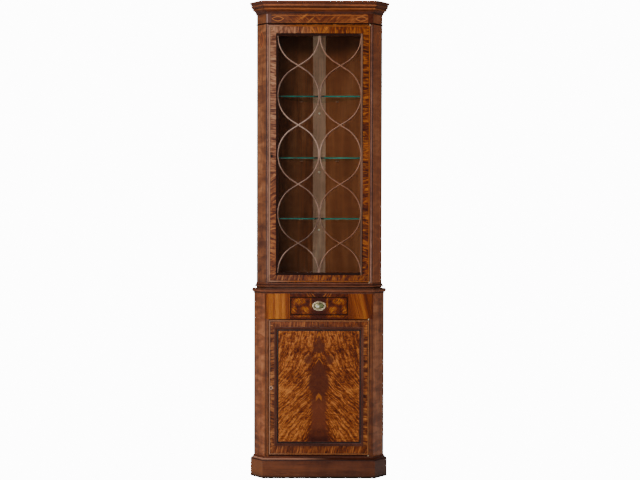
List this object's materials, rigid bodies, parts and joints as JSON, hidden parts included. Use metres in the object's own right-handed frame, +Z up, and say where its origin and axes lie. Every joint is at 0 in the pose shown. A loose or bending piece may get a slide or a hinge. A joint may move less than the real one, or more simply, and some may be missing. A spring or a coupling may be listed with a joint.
{
  "type": "corner cabinet",
  "caption": "Free-standing corner display cabinet with a glazed upper door, glass shelves, a small frieze drawer and a panelled lower cupboard on a plinth.",
  "frame": {"origin": "on the floor, under the middle of the cabinet's bounding box", "axes": "+Z up; the glazed front faces -Y; the two backs meet towards +Y; +X to the viewer's right, where the doors are hung"},
  "size_m": [0.5814, 0.312, 1.98],
  "materials": {
    "figured_mahogany": "french polished figured veneer",
    "mahogany": "french polished",
    "dark_mahogany": "french polished, dark",
    "back_board": "stained, satin",
    "carcase_board": "waxed",
    "glass": "clear",
    "brass": "aged, polished"
  },
  "bodies": {
    "carcase": {"base_moulding": "dark_mahogany", "corner_studs": "brass", "cornice": "dark_mahogany", "drawer_rail": "figured_mahogany", "drawer_runners": "carcase_board", "dust_board": "carcase_board", "glass_shelf_1": "glass", "glass_shelf_2": "glass", "glass_shelf_3": "glass", "hinge_pins": "brass", "lower_back_left": "back_board", "lower_back_right": "back_board", "lower_bottom_rail": "mahogany", "lower_cant_left": "mahogany", "lower_cant_right": "mahogany", "lower_corner_board": "back_board", "lower_floor_board": "carcase_board", "lower_shelf": "carcase_board", "lower_stile_left": "mahogany", "lower_stile_right": "mahogany", "lower_top_board": "carcase_board", "neck_bead": "dark_mahogany", "plinth_boards": "dark_mahogany", "plinth_moulding": "dark_mahogany", "shelf_pegs": "brass", "upper_back_left": "back_board", "upper_back_right": "back_board", "upper_cant_left": "mahogany", "upper_cant_right": "mahogany", "upper_corner_board": "back_board", "upper_floor_board": "carcase_board", "upper_frieze": "figured_mahogany", "upper_stile_left": "mahogany", "upper_stile_right": "mahogany", "upper_top_board": "carcase_board", "waist_moulding": "dark_mahogany"},
    "upper_door": {"upper_door_bead": "mahogany", "upper_door_glass": "glass", "upper_door_glass_strips": "mahogany", "upper_door_rail_bottom": "figured_mahogany", "upper_door_rail_top": "figured_mahogany", "upper_door_stile_left": "figured_mahogany", "upper_door_stile_right": "figured_mahogany", "upper_door_tracery": "mahogany", "upper_hinge_eyes": "brass", "upper_lock": "brass"},
    "lower_door": {"lower_door_moulding": "dark_mahogany", "lower_door_panel": "figured_mahogany", "lower_door_rail_bottom": "figured_mahogany", "lower_door_rail_top": "figured_mahogany", "lower_door_stile_left": "figured_mahogany", "lower_door_stile_right": "figured_mahogany", "lower_hinge_eyes": "brass", "lower_lock": "brass"},
    "drawer": {"drawer_front": "figured_mahogany", "drawer_box": "carcase_board", "pull_backplate": "brass"},
    "pull": {"pull_ring": "brass"},
    "upper_bolt": {"upper_lock_bolt": "brass"},
    "lower_bolt": {"lower_lock_bolt": "brass"}
  },
  "joints": [
    {"name": "upper_door_hinge", "type": "hinge", "parent": "carcase", "child": "upper_door", "pos_m": [0.2089, -0.118, 0.816], "axis": [0, 0, 1], "range_deg": [0, 120]},
    {"name": "lower_door_hinge", "type": "hinge", "parent": "carcase", "child": "lower_door", "pos_m": [0.2064, -0.1335, 0.093], "axis": [0, 0, 1], "range_deg": [0, 120]},
    {"name": "drawer_slide", "type": "slide", "parent": "carcase", "child": "drawer", "axis": [0, -1, 0], "range_m": [0, 0.12]},
    {"name": "pull_pivot", "type": "hinge", "parent": "drawer", "child": "pull", "pos_m": [0, -0.1379, 0.73315], "axis": [-1, 0, 0], "range_deg": [0, 90]},
    {"name": "upper_bolt_slide", "type": "slide", "parent": "upper_door", "child": "upper_bolt", "axis": [-1, 0, 0], "range_m": [0, 0.006]},
    {"name": "lower_bolt_slide", "type": "slide", "parent": "lower_door", "child": "lower_bolt", "axis": [-1, 0, 0], "range_m": [0, 0.006]}
  ]
}
